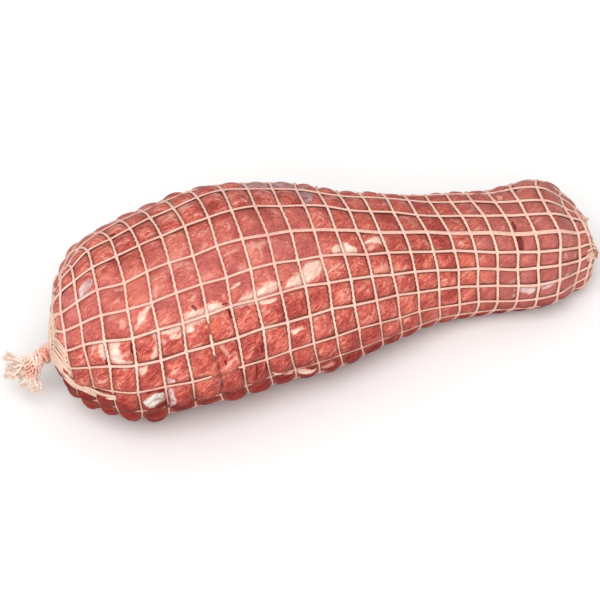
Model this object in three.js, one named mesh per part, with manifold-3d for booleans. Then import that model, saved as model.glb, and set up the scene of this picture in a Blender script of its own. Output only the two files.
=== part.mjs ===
// Boneless veal roast, rolled and held in an elastic net that is gathered at both ends.
// Millimetres, +Z up. It lies along X: the thick end with the net's frayed tail is at -X,
// the thin end is at +X. The origin is the centre of its footprint, on the surface it lies on.
import * as THREE from "three";
import { mergeVertices } from "three/addons/utils/BufferGeometryUtils.js";
import Module from "manifold-3d";

const wasm = await Module();
wasm.setup();

// The net has 20 lengthwise cords. Its elastic rings, numbered from the tied end, lie about
// 12 to 15 mm apart. At each end the cords run into a narrow collar, given as a ring number too.
const cords = 20;
const firstRing = -1;
const lastRing = 25;
const tiedCollar = -2.35;
const thinCollar = 25.75;

// The cords aren't evenly spaced: they are crowded and spread three times around the roast,
// by this share of their spacing, and the first crowding is about cord 4.6.
const crowding = 0.15;
const crowdings = 3;
const crowdingStart = 3;

// The net is stretched unevenly: at a ring and cord, over a reach in rings and in cords, its
// crossings are pulled by so many ring and cord numbers.
const pulls = [
  { ring: 1.3, ringReach: 1.6, cord: 5.4, cordReach: 1.8, alongRings: 0.14, alongCords: 0 },
  { ring: 3.5, ringReach: 1.8, cord: 0.2, cordReach: 1, alongRings: 0, alongCords: 0.35 },
  { ring: 8.7, ringReach: 2, cord: 1, cordReach: 1.2, alongRings: 0, alongCords: -0.2 },
  { ring: 22.5, ringReach: 1.5, cord: 3.7, cordReach: 1, alongRings: 0.12, alongCords: 0 },
  { ring: 22.5, ringReach: 1.6, cord: 6.2, cordReach: 1.4, alongRings: 0, alongCords: -0.25 },
  { ring: 23, ringReach: 1.8, cord: 1, cordReach: 1.4, alongRings: -0.2, alongCords: 0 },
  { ring: 23, ringReach: 2.2, cord: 0.4, cordReach: 1.3, alongRings: 0, alongCords: 0.65 },
];

// Each mesh of the net lets a pillow of meat bulge out: this much, more where the mesh is
// large, and no more than a share of its size where the cords run together.
const pillowLeast = 1.85;
const pillowGain = 0.11;
const pillowLimit = 0.26;

// A cord of the net: its half width, the room below it and its height.
const cordHalfWidth = 0.85;
const cordRoom = 1;
const cordHeight = 1.2;
const narrowestCell = 0.27;

// The underside is pressed flat by the roast's own weight: the cords stay this far up.
const pressedTo = 2.4;
const pressBlend = 0.8;
const undersideShare = 0.85;

// Cross-sections from the tied end to the thin end, each at a ring of the net:
// where it is along and across the roast, how far its underside is off the table,
// its half width, its half height above the centre, its turn in plan and its lean
// in degrees, and how far the first cord is turned from the top.
const sections = [
  { ring: -2.6, along: 55.5, across: -2, lift: 31.5, wide: 1, high: 1, turn: -10, lean: 0, twist: -26 },
  { ring: -2, along: 59, across: 2, lift: 25.5, wide: 12, high: 14, turn: -13, lean: 5, twist: -26 },
  { ring: -1, along: 63.5, across: 2.5, lift: 15.5, wide: 21.5, high: 28.5, turn: -12, lean: 8, twist: -27 },
  { ring: 0, along: 67, across: -1, lift: 6, wide: 30, high: 39, turn: -8, lean: 8, twist: -29 },
  { ring: 1, along: 73, across: -3.5, lift: 0.5, wide: 36, high: 45, turn: -2, lean: 7, twist: -35 },
  { ring: 2, along: 80.5, across: -3, lift: -0.5, wide: 46.5, high: 48.5, turn: 0, lean: 4, twist: -38 },
  { ring: 3, along: 91, across: -2, lift: -1.5, wide: 55, high: 50, turn: 2, lean: 0, twist: -39 },
  { ring: 5, along: 118.5, across: -0.5, lift: -1, wide: 61.5, high: 51.5, turn: 2, lean: 1, twist: -41 },
  { ring: 8, along: 163, across: 2, lift: -2, wide: 62, high: 53.5, turn: -1, lean: 2, twist: -41 },
  { ring: 11, along: 206, across: 2.5, lift: -0.5, wide: 57.5, high: 47, turn: -4, lean: 1, twist: -44 },
  { ring: 14, along: 242, across: 0, lift: -1, wide: 41.5, high: 44, turn: -1, lean: 0, twist: -36 },
  { ring: 17, along: 279.5, across: 2.5, lift: -1, wide: 35, high: 37, turn: 0, lean: -6, twist: -30 },
  { ring: 20, along: 314.5, across: 0, lift: -1, wide: 35.5, high: 33.5, turn: -3, lean: -13, twist: -26 },
  { ring: 22, along: 342, across: -4, lift: 0.5, wide: 35.5, high: 34, turn: -11, lean: -11, twist: -21 },
  { ring: 23, along: 357, across: -0.5, lift: 0, wide: 30, high: 26.5, turn: -12, lean: -15, twist: -24 },
  { ring: 24, along: 363.5, across: -4.5, lift: 0.5, wide: 23, high: 22.5, turn: -11, lean: -18, twist: -33 },
  { ring: 25, along: 370, across: -3, lift: 5.5, wide: 16, high: 13.5, turn: -10, lean: -22, twist: -34 },
  { ring: 26.3, along: 374, across: -5, lift: 15, wide: 1, high: 1, turn: -9, lean: -20, twist: -35 },
];

// Which way each gathered end of the net faces.
const tiedEndFacing = new THREE.Vector3(-0.95, 0.2, -0.23).normalize();
const thinEndFacing = new THREE.Vector3(0.87, -0.2, -0.45).normalize();
const collarGap = 0.4;

// The tail of the net, from the knot outwards: its bend, its fork and its three frayed tips.
const tailBend = [-4.5, -2.5, -3.5];
const tailFork = [-9.5, -5, -7.5];
const tailTips = [[-20.5, 5, 2], [-23, -3.5, -5.5], [-9.5, -11, -15]];
const knotRadius = 4.8;
const tailRadius = 3.8;
const tuftRadius = 3.2;

// The low tuft at the thin end.
const gatherRadius = 5.5;
const gatherFlatness = 0.5;

function sectionValue(name, ring) {
  // A smooth curve through one value of all cross-sections.
  let i = sections.findIndex((section) => section.ring > ring) - 1;
  if (i < 0) i = ring < sections[0].ring ? 0 : sections.length - 2;
  const slope = (k) => {
    const low = sections[Math.max(k - 1, 0)];
    const high = sections[Math.min(k + 1, sections.length - 1)];
    return (high[name] - low[name]) / (high.ring - low.ring);
  };
  const span = sections[i + 1].ring - sections[i].ring;
  const t = (ring - sections[i].ring) / span;
  const stay = 2 * t ** 3 - 3 * t ** 2 + 1;
  return stay * sections[i][name] + (1 - stay) * sections[i + 1][name]
    + (t ** 3 - 2 * t ** 2 + t) * slope(i) * span + (t ** 3 - t ** 2) * slope(i + 1) * span;
}

function ringPull(ring, angle, wide) {
  // How far the rings are pulled out of their planes, more towards the thin end.
  const t = (ring - 12) / 12;
  const pull = (-3 - t) * Math.sin(2 * angle) - (2 + 9 * t) * Math.cos(2 * angle)
    + (2 + 3.5 * t) * Math.sin(3 * angle) + t * Math.cos(3 * angle);
  return pull * wide / 50;
}

function pulled(evenRing, evenCord) {
  // Where the unevenly stretched net has a crossing, as the numbers of an even net.
  let ring = evenRing;
  let cord = evenCord;
  for (const pull of pulls) {
    const turns = (evenCord - pull.cord) / cords;
    const away = (turns - Math.round(turns)) * cords;
    const share = Math.exp(-(((evenRing - pull.ring) / pull.ringReach) ** 2) - (away / pull.cordReach) ** 2);
    ring += share * pull.alongRings;
    cord += share * pull.alongCords;
  }
  return [ring, cord];
}

function netPoint(evenRing, evenCord) {
  // The line where the net presses into the meat, at any ring and cord number.
  const [ring, cord] = pulled(evenRing, evenCord);
  const wide = sectionValue("wide", ring);
  const high = sectionValue("high", ring);
  const turn = THREE.MathUtils.degToRad(sectionValue("turn", ring));
  const lean = THREE.MathUtils.degToRad(sectionValue("lean", ring));
  const crowded = cord + crowding * Math.cos(crowdings * (cord - crowdingStart) / cords * 2 * Math.PI);
  const angle = THREE.MathUtils.degToRad(sectionValue("twist", ring) + crowded * 360 / cords);
  const forward = new THREE.Vector3(
    Math.cos(turn) * Math.cos(lean), Math.sin(turn) * Math.cos(lean), Math.sin(lean));
  const sideways = new THREE.Vector3(-Math.sin(turn), Math.cos(turn), 0);
  const upward = new THREE.Vector3().crossVectors(forward, sideways);
  const rise = Math.cos(angle) * high * (Math.cos(angle) > 0 ? 1 : undersideShare);
  const point = new THREE.Vector3(
    sectionValue("along", ring), sectionValue("across", ring),
    undersideShare * high + sectionValue("lift", ring));
  point.addScaledVector(sideways, -wide * Math.sin(angle));
  point.addScaledVector(upward, rise);
  point.addScaledVector(forward, ringPull(ring, angle, wide));
  point.z = pressedTo + pressBlend * Math.log1p(Math.exp((point.z - pressedTo) / pressBlend));
  return point;
}

function netFrame(ring, cord) {
  // The place, the direction along a cord, the direction round a ring and the way out.
  const step = 0.05;
  const along = netPoint(ring + step, cord).sub(netPoint(ring - step, cord)).normalize();
  const round = netPoint(ring, cord + step).sub(netPoint(ring, cord - step)).normalize();
  const out = new THREE.Vector3().crossVectors(round, along).normalize();
  return { at: netPoint(ring, cord), along, round, out };
}

function cellWidth(ring, cord) {
  return netPoint(ring, cord).distanceTo(netPoint(ring, cord + 1));
}

function pillowHeight(ring, cord) {
  const length = netPoint(ring - 0.5, cord + 0.5).distanceTo(netPoint(ring + 0.5, cord + 0.5));
  const size = Math.min(cellWidth(ring, cord), length);
  const uneven = 1 + 0.07 * Math.sin(2.1 * ring + 1.3 * cord) + 0.05 * Math.sin(3.7 * cord - ring);
  return Math.min(pillowLeast + pillowGain * size, pillowLimit * size) * uneven;
}

function meshFrom(name, positions, triangles, material) {
  const geometry = new THREE.BufferGeometry();
  geometry.setAttribute("position", new THREE.Float32BufferAttribute(positions, 3));
  geometry.setIndex(triangles);
  geometry.computeVertexNormals();
  const mesh = new THREE.Mesh(geometry, material);
  mesh.name = name;
  return mesh;
}

function solidFrom(geometry) {
  // A closed geometry as a solid that can be joined and cut.
  const bare = geometry.clone();
  bare.deleteAttribute("normal");
  bare.deleteAttribute("uv");
  const merged = mergeVertices(bare);
  return new wasm.Manifold(new wasm.Mesh({
    numProp: 3,
    vertProperties: new Float32Array(merged.attributes.position.array),
    triVerts: new Uint32Array(merged.index.array),
  }));
}

function meshFromSolid(name, solid, material) {
  const result = solid.getMesh();
  return meshFrom(name, Array.from(result.vertProperties), Array.from(result.triVerts), material);
}

// Raw veal under the net: one pillow in each mesh of the net, cut flat where it lies.
function makeMeat() {
  const rings = [tiedCollar];
  for (let ring = firstRing; ring <= lastRing; ring += 1) rings.push(ring);
  rings.push(thinCollar);
  const positions = [];
  const triangles = [];
  for (const ring of rings) {
    for (let cord = 0; cord < cords; cord += 1) positions.push(...netPoint(ring, cord));
  }
  const corner = (row, cord) => row * cords + cord % cords;
  for (let row = 0; row + 1 < rings.length; row += 1) {
    for (let cord = 0; cord < cords; cord += 1) {
      const middle = (rings[row] + rings[row + 1]) / 2;
      const { at, out } = netFrame(middle, cord + 0.5);
      at.addScaledVector(out, pillowHeight(middle, cord));
      const top = positions.length / 3;
      positions.push(...at);
      const round = [
        corner(row, cord), corner(row, cord + 1), corner(row + 1, cord + 1), corner(row + 1, cord)];
      round.forEach((from, side) => triangles.push(from, round[(side + 1) % 4], top));
    }
  }
  for (const row of [0, rings.length - 1]) {
    const pole = positions.length / 3;
    const end = row === 0 ? sections[0].ring : sections[sections.length - 1].ring;
    const middle = netPoint(end, 0).add(netPoint(end, cords / 2)).multiplyScalar(0.5);
    positions.push(...middle);
    for (let cord = 0; cord < cords; cord += 1) {
      const edge = [corner(row, cord), corner(row, cord + 1)];
      if (row === 0) edge.reverse();
      triangles.push(edge[0], edge[1], pole);
    }
  }
  const material = new THREE.MeshStandardMaterial({ color: "#b5544b", roughness: 0.45, metalness: 0 });
  const whole = meshFrom("meat", positions, triangles, material);
  const resting = solidFrom(whole.geometry).trimByPlane([0, 0, 1], 0);
  return meshFromSolid("meat", resting, material);
}

// Elastic net: cords of three-sided section whose flat side faces the meat.
function makeNet() {
  const rings = [tiedCollar];
  for (let ring = firstRing; ring <= lastRing; ring += 1) rings.push(ring);
  rings.push(thinCollar);
  const positions = [];
  const triangles = [];
  const perCrossing = 5;
  for (const ring of rings) {
    for (let cord = 0; cord < cords; cord += 1) {
      const { at, along, round, out } = netFrame(ring, cord);
      const half = Math.min(cordHalfWidth, narrowestCell * cellWidth(ring, cord));
      positions.push(...at.clone().addScaledVector(out, cordRoom + cordHeight));
      for (const [back, left] of [[-1, -1], [-1, 1], [1, 1], [1, -1]]) {
        const corner = at.clone().addScaledVector(out, cordRoom);
        corner.addScaledVector(along, back * cordHalfWidth).addScaledVector(round, left * half);
        positions.push(...corner);
      }
    }
  }
  const crossing = (row, cord) => (row * cords + cord % cords) * perCrossing;
  const face = (...round) => {
    for (let side = 1; side + 1 < round.length; side += 1) {
      triangles.push(round[0], round[side], round[side + 1]);
    }
  };
  for (let row = 0; row < rings.length; row += 1) {
    for (let cord = 0; cord < cords; cord += 1) {
      const here = crossing(row, cord);
      const next = crossing(row, cord + 1);
      face(here + 1, here + 4, here + 3, here + 2);
      face(here + 2, here + 3, next + 4, next + 1);
      face(here, here + 2, next + 1, next);
      face(here, next, next + 4, here + 3);
      if (row === 0) face(here, here + 1, here + 2);
      if (row === rings.length - 1) {
        face(here, here + 3, here + 4);
        continue;
      }
      const ahead = crossing(row + 1, cord);
      face(here + 4, ahead + 1, ahead + 2, here + 3);
      face(here, ahead, ahead + 1, here + 4);
      face(here, here + 3, ahead + 2, ahead);
    }
  }
  const material = new THREE.MeshStandardMaterial({ color: "#e8cdb4", roughness: 0.85, metalness: 0 });
  return meshFrom("net", positions, triangles, material);
}

function tube(points, radius, endRadius) {
  // A closed eight-sided bundle of cord ends that narrows or widens along its length.
  const route = new THREE.CatmullRomCurve3(points);
  const steps = 7;
  const sides = 8;
  const outline = new THREE.Shape();
  for (let side = 0; side < sides; side += 1) {
    const angle = side * 2 * Math.PI / sides;
    if (side === 0) outline.moveTo(radius, 0);
    else outline.lineTo(radius * Math.cos(angle), radius * Math.sin(angle));
  }
  const geometry = new THREE.ExtrudeGeometry(outline, { steps, extrudePath: route });
  const position = geometry.attributes.position;
  for (let i = 0; i < position.count; i += 1) {
    const vertex = new THREE.Vector3().fromBufferAttribute(position, i);
    let nearest = 0;
    let centre = route.getPointAt(0);
    for (let step = 1; step <= steps; step += 1) {
      const candidate = route.getPointAt(step / steps);
      if (candidate.distanceTo(vertex) < centre.distanceTo(vertex)) {
        centre = candidate;
        nearest = step;
      }
    }
    const share = nearest / steps;
    const scale = 1 + share * (endRadius / radius - 1);
    vertex.sub(centre).multiplyScalar(scale).add(centre);
    position.setXYZ(i, ...vertex);
  }
  return solidFrom(geometry);
}

function gatheredPlace(collar, facing, inner) {
  // The point outside the middle of a collar that just clears the meat and the net.
  let reach = -Infinity;
  for (const mesh of inner) {
    const position = mesh.geometry.attributes.position;
    for (let i = 0; i < position.count; i += 1) {
      reach = Math.max(reach, new THREE.Vector3().fromBufferAttribute(position, i).dot(facing));
    }
  }
  const middle = netPoint(collar, 0).add(netPoint(collar, cords / 2)).multiplyScalar(0.5);
  return middle.addScaledVector(facing, reach + collarGap - middle.dot(facing));
}

function trimmedBehind(solid, place, facing) {
  return solid.trimByPlane([...facing], place.dot(facing));
}

// The net's tied end: a knot and a twisted bundle of cords that frays into three tufts.
function makeTail(inner) {
  const root = gatheredPlace(tiedCollar, tiedEndFacing, inner);
  const from = (offset) => root.clone().add(new THREE.Vector3(...offset));
  const knot = new THREE.SphereGeometry(knotRadius, 12, 8);
  knot.translate(...root);
  let tail = solidFrom(knot).add(tube([root, from(tailBend), from(tailFork)], tailRadius, tailRadius * 0.9));
  for (const tip of tailTips) {
    const start = root.clone().lerp(from(tailFork), 0.8);
    const middle = from(tailFork).lerp(from(tip), 0.5);
    tail = tail.add(tube([start, middle, from(tip)], tailRadius * 0.6, tuftRadius));
  }
  const material = new THREE.MeshStandardMaterial({ color: "#e9bfa4", roughness: 0.9, metalness: 0 });
  return meshFromSolid("net_tail", trimmedBehind(tail, root, tiedEndFacing), material);
}

// The net's other end, gathered into a low tuft over the thin end of the meat.
function makeThinEndGather(inner) {
  const place = gatheredPlace(thinCollar, thinEndFacing, inner);
  const gather = new THREE.SphereGeometry(gatherRadius, 14, 10);
  gather.scale(gatherFlatness, 1, 1);
  const tilt = new THREE.Quaternion().setFromUnitVectors(new THREE.Vector3(1, 0, 0), thinEndFacing);
  gather.applyQuaternion(tilt);
  gather.translate(...place);
  const material = new THREE.MeshStandardMaterial({ color: "#e8cdb4", roughness: 0.9, metalness: 0 });
  return meshFromSolid("net_end_gather", trimmedBehind(solidFrom(gather), place, thinEndFacing), material);
}

const pieces = new THREE.Group();
const meat = makeMeat();
const net = makeNet();
pieces.add(meat, net, makeTail([meat, net]), makeThinEndGather([meat, net]));
const box = new THREE.Box3().setFromObject(pieces);
pieces.position.set(-(box.min.x + box.max.x) / 2, -(box.min.y + box.max.y) / 2, -box.min.z);

const roast = new THREE.Group();
roast.add(pieces);
export default roast;
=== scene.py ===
import math

import bpy
import numpy as np
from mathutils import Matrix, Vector, noise


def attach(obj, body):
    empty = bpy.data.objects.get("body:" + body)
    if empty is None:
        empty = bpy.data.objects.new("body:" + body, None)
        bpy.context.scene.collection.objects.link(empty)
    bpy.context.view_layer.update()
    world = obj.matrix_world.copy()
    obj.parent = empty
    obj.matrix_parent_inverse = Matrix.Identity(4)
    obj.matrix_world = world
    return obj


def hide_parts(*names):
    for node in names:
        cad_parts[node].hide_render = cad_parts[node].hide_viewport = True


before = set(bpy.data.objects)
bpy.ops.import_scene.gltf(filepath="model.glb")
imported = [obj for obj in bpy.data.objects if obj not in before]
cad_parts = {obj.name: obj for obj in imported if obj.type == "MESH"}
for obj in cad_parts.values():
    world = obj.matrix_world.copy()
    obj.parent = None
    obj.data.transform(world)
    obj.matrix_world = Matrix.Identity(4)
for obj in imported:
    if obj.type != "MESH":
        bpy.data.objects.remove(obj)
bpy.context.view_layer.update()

# The form that meat and net share
# Cords of an elastic net press into the rolled meat. Twenty cords run lengthwise, and rings
# lie about 12 to 15 mm apart. A place on the roast is a ring number and a cord number.
MM = 0.001
CORDS = 20
FIRST_RING = -1
LAST_RING = 25
TIED_COLLAR = -2.35
THIN_COLLAR = 25.75
CROWDING = 0.15
CROWDINGS = 3
CROWDING_START = 3

# The net is stretched unevenly: at a ring and cord, over a reach in rings and in cords, its
# crossings are pulled by so many ring and cord numbers.
UNEVEN = [
    (1.3, 1.6, 5.4, 1.8, 0.14, 0),
    (3.5, 1.8, 0.2, 1, 0, 0.35),
    (8.7, 2, 1, 1.2, 0, -0.2),
    (22.5, 1.5, 3.7, 1, 0.12, 0),
    (22.5, 1.6, 6.2, 1.4, 0, -0.25),
    (23, 1.8, 1, 1.4, -0.2, 0),
    (23, 2.2, 0.4, 1.3, 0, 0.65),
]

# The lower half of each cross-section is flatter by a share. The table presses the lowest
# cords up to a height, with a soft bend, in millimetres.
UNDERSIDE_SHARE = 0.85
PRESSED_TO = 2.4
PRESS_BLEND = 0.8

# Each ring waves along the roast: so many times around it, by these millimetres at the middle
# ring as a sine and then more towards the thin end, and both again as a cosine. They are given
# for a half width of so many millimetres.
MIDDLE_RING = 12
RING_WAVES = [
    (2, -3, -1, -2, -9),
    (3, 2, 3.5, 0, 1),
]
WAVES_AT_HALF_WIDTH = 50

# Uneven muscles: three waves this high in millimetres, with how far each goes on from ring to
# ring and from cord to cord, and where it starts, in radians
LUMP_HEIGHT = 0.35
LUMP_WAVES = [
    (0.9, 1.1, 0),
    (1.7, -0.62832, 2),
    (0.53, 1.88496, 4),
]

# The middle of the footprint, counted from where the cross-sections are measured
ORIGIN = np.array([205.08, 0.56, 0.0])

# ring, along, across, lift, half width, half height, turn, lean, twist
SECTIONS = np.array([
    (-2.6, 55.5, -2, 31.5, 1, 1, -10, 0, -26),
    (-2, 59, 2, 25.5, 12, 14, -13, 5, -26),
    (-1, 63.5, 2.5, 15.5, 21.5, 28.5, -12, 8, -27),
    (0, 67, -1, 6, 30, 39, -8, 8, -29),
    (1, 73, -3.5, 0.5, 36, 45, -2, 7, -35),
    (2, 80.5, -3, -0.5, 46.5, 48.5, 0, 4, -38),
    (3, 91, -2, -1.5, 55, 50, 2, 0, -39),
    (5, 118.5, -0.5, -1, 61.5, 51.5, 2, 1, -41),
    (8, 163, 2, -2, 62, 53.5, -1, 2, -41),
    (11, 206, 2.5, -0.5, 57.5, 47, -4, 1, -44),
    (14, 242, 0, -1, 41.5, 44, -1, 0, -36),
    (17, 279.5, 2.5, -1, 35, 37, 0, -6, -30),
    (20, 314.5, 0, -1, 35.5, 33.5, -3, -13, -26),
    (22, 342, -4, 0.5, 35.5, 34, -11, -11, -21),
    (23, 357, -0.5, 0, 30, 26.5, -12, -15, -24),
    (24, 363.5, -4.5, 0.5, 23, 22.5, -11, -18, -33),
    (25, 370, -3, 5.5, 16, 13.5, -10, -22, -34),
    (26.3, 374, -5, 15, 1, 1, -9, -20, -35),
], float)


def through_sections(ring, column):
    """A smooth curve through one value of all cross-sections."""
    rings = SECTIONS[:, 0]
    values = SECTIONS[:, column]
    start = np.clip(np.searchsorted(rings, ring, side="right") - 1, 0, len(rings) - 2)
    end = start + 1
    before = np.maximum(start - 1, 0)
    after = np.minimum(end + 1, len(rings) - 1)
    span = rings[end] - rings[start]
    share = (ring - rings[start]) / span
    leaving = (values[end] - values[before]) / (rings[end] - rings[before]) * span
    arriving = (values[after] - values[start]) / (rings[after] - rings[start]) * span
    stay = 2 * share**3 - 3 * share**2 + 1
    between = stay * values[start] + (1 - stay) * values[end]
    return between + (share**3 - 2 * share**2 + share) * leaving + (share**3 - share**2) * arriving


def smooth(edge, full, value):
    """0 before edge, 1 past full, and a soft step between."""
    share = np.clip((np.asarray(value, float) - edge) / (full - edge), 0, 1)
    return share * share * (3 - 2 * share)


def band(value, start, full, fading, end):
    """1 from full to fading, with a soft step down to 0 at start and at end."""
    return smooth(start, full, value) * smooth(end, fading, value)


def pulled(ring, cord):
    """Where an unevenly stretched net has its crossings, as if it were even."""
    new_ring, new_cord = ring, cord
    for at_ring, ring_reach, at_cord, cord_reach, ring_pull, cord_pull in UNEVEN:
        away = (cord - at_cord + CORDS / 2) % CORDS - CORDS / 2
        share = np.exp(-(((ring - at_ring) / ring_reach) ** 2) - (away / cord_reach) ** 2)
        new_ring = new_ring + share * ring_pull
        new_cord = new_cord + share * cord_pull
    return new_ring, new_cord


def net_line(ring, cord):
    """The places, in metres, where the net presses into the meat."""
    ring, cord = pulled(*np.broadcast_arrays(np.asarray(ring, float), np.asarray(cord, float)))
    along, across, lift, wide, high, turn, lean, twist = [
        through_sections(ring, column) for column in range(1, 9)
    ]
    turn = np.radians(turn)
    lean = np.radians(lean)
    crowded = cord + CROWDING * np.cos(CROWDINGS * (cord - CROWDING_START) / CORDS * 2 * math.pi)
    angle = np.radians(twist + crowded * 360 / CORDS)
    forward = np.stack([np.cos(turn) * np.cos(lean), np.sin(turn) * np.cos(lean), np.sin(lean)], -1)
    sideways = np.stack([-np.sin(turn), np.cos(turn), 0 * turn], -1)
    upward = np.cross(forward, sideways)
    rise = np.cos(angle) * high * np.where(np.cos(angle) > 0, 1, UNDERSIDE_SHARE)
    to_thin_end = (ring - MIDDLE_RING) / MIDDLE_RING
    pull = 0
    for waves, sine, sine_gain, cosine, cosine_gain in RING_WAVES:
        pull = pull + (sine + sine_gain * to_thin_end) * np.sin(waves * angle)
        pull = pull + (cosine + cosine_gain * to_thin_end) * np.cos(waves * angle)
    pull = pull * wide / WAVES_AT_HALF_WIDTH
    place = np.stack([along, across, UNDERSIDE_SHARE * high + lift], -1)
    place = place - (wide * np.sin(angle))[..., None] * sideways + rise[..., None] * upward
    place = place + pull[..., None] * forward
    above = (place[..., 2] - PRESSED_TO) / PRESS_BLEND
    place[..., 2] = PRESSED_TO + PRESS_BLEND * np.log1p(np.exp(above))
    return (place - ORIGIN) * MM


def unit(vectors):
    """The same directions, each of length 1."""
    return vectors / np.maximum(np.linalg.norm(vectors, axis=-1, keepdims=True), 1e-12)


def way_out(ring, cord):
    """The direction that points out of the roast."""
    step = 0.05
    along = net_line(ring + step, cord) - net_line(ring - step, cord)
    around = net_line(ring, cord + step) - net_line(ring, cord - step)
    return unit(np.cross(around, along))


def lumps(ring, cord):
    """Uneven muscles under the net, in metres."""
    waves = sum(
        np.sin(ring_step * ring + cord_step * cord + start) for ring_step, cord_step, start in LUMP_WAVES
    )
    return LUMP_HEIGHT * MM * waves


# Raw veal
# One boneless muscle roast, pale red, with cream fat along its seams. The net makes a pillow
# of meat in each of its meshes, and the meat is pressed flat where it lies.
ROWS_PER_RING = 12
COLUMNS_PER_CORD = 12
FIRST_ROW = -30
LAST_ROW = 315
FLOOR_CLEARANCE = 0.02 * MM

# A pillow rises by a least height and a share of its mesh, up to another share, in millimetres.
# Steps from ring to ring and from cord to cord, in radians, make neighbours differ.
PILLOW_LEAST = 1.4
PILLOW_GAIN = 0.085
PILLOW_LIMIT = 0.25
PILLOW_SQUARENESS = 2.6
PILLOW_UNEVENNESS = 0.14
PILLOW_STEPS = (94.95, 41.18)

# One row of pillows bulges more, on the thick half of the roast.
BULGE_GAIN = 0.5
BULGE_CORDS = (6.5, 7, 7.95, 8)
BULGE_RINGS = (13, 8)

# How full the lowest pillows that show are, between these cords and at these rings
LOW_CORDS = (8, 10)
LOW_RINGS = (3, 4, 5, 6, 7, 8, 14, 16)
LOW_FULLNESS = (1.5, 0.5, 0.5, 1, 1, 0.7, 0.7, 1)

# Soft waves in the meat: their size and height in millimetres, and a seed. They are full
# where the pillow is this high.
FLESH_WAVES = [
    (9, 0.45, 3),
    (4, 0.3, 8),
]
FLESH_FULL_AT = 1.2

# Where the meat closes over the net, it is this full, and the covered cord shows as a crease of
# some depth and half width. The covering ends softly between two shares of the half lengths.
CLOSED_SHARE = 0.75
CLOSED_EDGE = 1.4
CLOSED_FULL = 0.75
CREASE_SHARE = 0.5
CREASE_REACH = 1

# Ring, cord and half lengths along both
CLOSED = [
    (6, 5.48, 0.3, 0.18),
    (6, 7.12, 0.2, 0.7),
    (6.4, 7, 0.36, 0.15),
    (6.46, 8, 0.36, 0.2),
    (4.5, 8, 0.5, 0.2),
]


def vertices_of(piece):
    """The places of a piece's vertices."""
    places = np.zeros(len(piece.data.vertices) * 3)
    piece.data.vertices.foreach_get("co", places)
    return places.reshape(-1, 3)


rows = np.arange(FIRST_ROW, LAST_ROW + 1) / ROWS_PER_RING
columns = CORDS * COLUMNS_PER_CORD
bpy.ops.object.select_all(action="DESELECT")
bpy.ops.mesh.primitive_uv_sphere_add(segments=columns, ring_count=len(rows) + 1, radius=1)
meat = bpy.context.object
meat.name = "veal"
sphere = vertices_of(meat)
latitude = np.arccos(np.clip(sphere[:, 2], -1, 1)) / math.pi * (len(rows) + 1)
ends = np.concatenate([[SECTIONS[0, 0]], rows, [SECTIONS[-1, 0]]])
meat_ring = ends[np.rint(latitude).astype(int)]
longitude = np.round(np.arctan2(sphere[:, 1], sphere[:, 0]) / (2 * math.pi) * columns)
meat_cord = -(longitude % columns) / COLUMNS_PER_CORD % CORDS


def across_mesh(ring, cord):
    """How far a place is across its mesh of the net, along and around, from 0 to 1."""
    share = ring % 1
    share = np.where(ring < FIRST_RING, (ring - TIED_COLLAR) / (FIRST_RING - TIED_COLLAR), share)
    share = np.where(ring >= LAST_RING, (ring - LAST_RING) / (THIN_COLLAR - LAST_RING), share)
    return np.clip(share, 0, 1), cord % 1


def mesh_size(ring, cord):
    """The width and the length of the net's mesh about a place, in millimetres."""
    width = np.linalg.norm(net_line(ring, cord + 0.5) - net_line(ring, cord - 0.5), axis=-1) / MM
    length = np.linalg.norm(net_line(ring + 0.5, cord) - net_line(ring - 0.5, cord), axis=-1) / MM
    return width, length


def swell(share):
    """A pillow's rise from one cord to the next."""
    return 1 - np.abs(2 * share - 1) ** PILLOW_SQUARENESS


def closed_over(ring, cord):
    """1 where the meat covers the net."""
    closed = 0.0
    for middle_ring, middle_cord, half_ring, half_cord in CLOSED:
        across = np.hypot((ring - middle_ring) / half_ring, (cord - middle_cord) / half_cord)
        closed = np.maximum(closed, smooth(CLOSED_EDGE, CLOSED_FULL, across))
    return closed


def gap_to_net(ring, cord):
    """The way to the nearest line of the net, in millimetres."""
    along, around = across_mesh(ring, cord)
    width, length = mesh_size(ring, cord)
    return np.minimum(np.minimum(along, 1 - along) * length, np.minimum(around, 1 - around) * width)


def pillow_rise(ring, cord):
    """How far the meat bulges out of the net, in millimetres."""
    along, around = across_mesh(ring, cord)
    size = np.minimum(*mesh_size(ring, cord))
    steps = PILLOW_STEPS[0] * np.floor(ring) + PILLOW_STEPS[1] * np.floor(cord)
    bulge = BULGE_GAIN * band(cord, *BULGE_CORDS) * smooth(*BULGE_RINGS, ring)
    uneven = 1 + PILLOW_UNEVENNESS * np.sin(steps) + bulge
    lowest = (cord >= LOW_CORDS[0]) & (cord < LOW_CORDS[1])
    uneven = np.where(lowest, uneven * np.interp(np.floor(ring), LOW_RINGS, LOW_FULLNESS), uneven)
    rise = np.minimum(PILLOW_LEAST + PILLOW_GAIN * size, PILLOW_LIMIT * size)
    crease = 1 - CREASE_SHARE * np.exp(-((gap_to_net(ring, cord) / CREASE_REACH) ** 2))
    met = CLOSED_SHARE * closed_over(ring, cord) * crease
    return rise * uneven * np.maximum(swell(along) * swell(around), met)


def noise_at(points, scale, seed):
    """Smooth noise between -1 and 1 at each point; scale is in metres."""
    shift = Vector((seed, seed * 1.7, -seed))
    return np.array([noise.noise(Vector(p) / scale + shift) for p in points])


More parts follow.
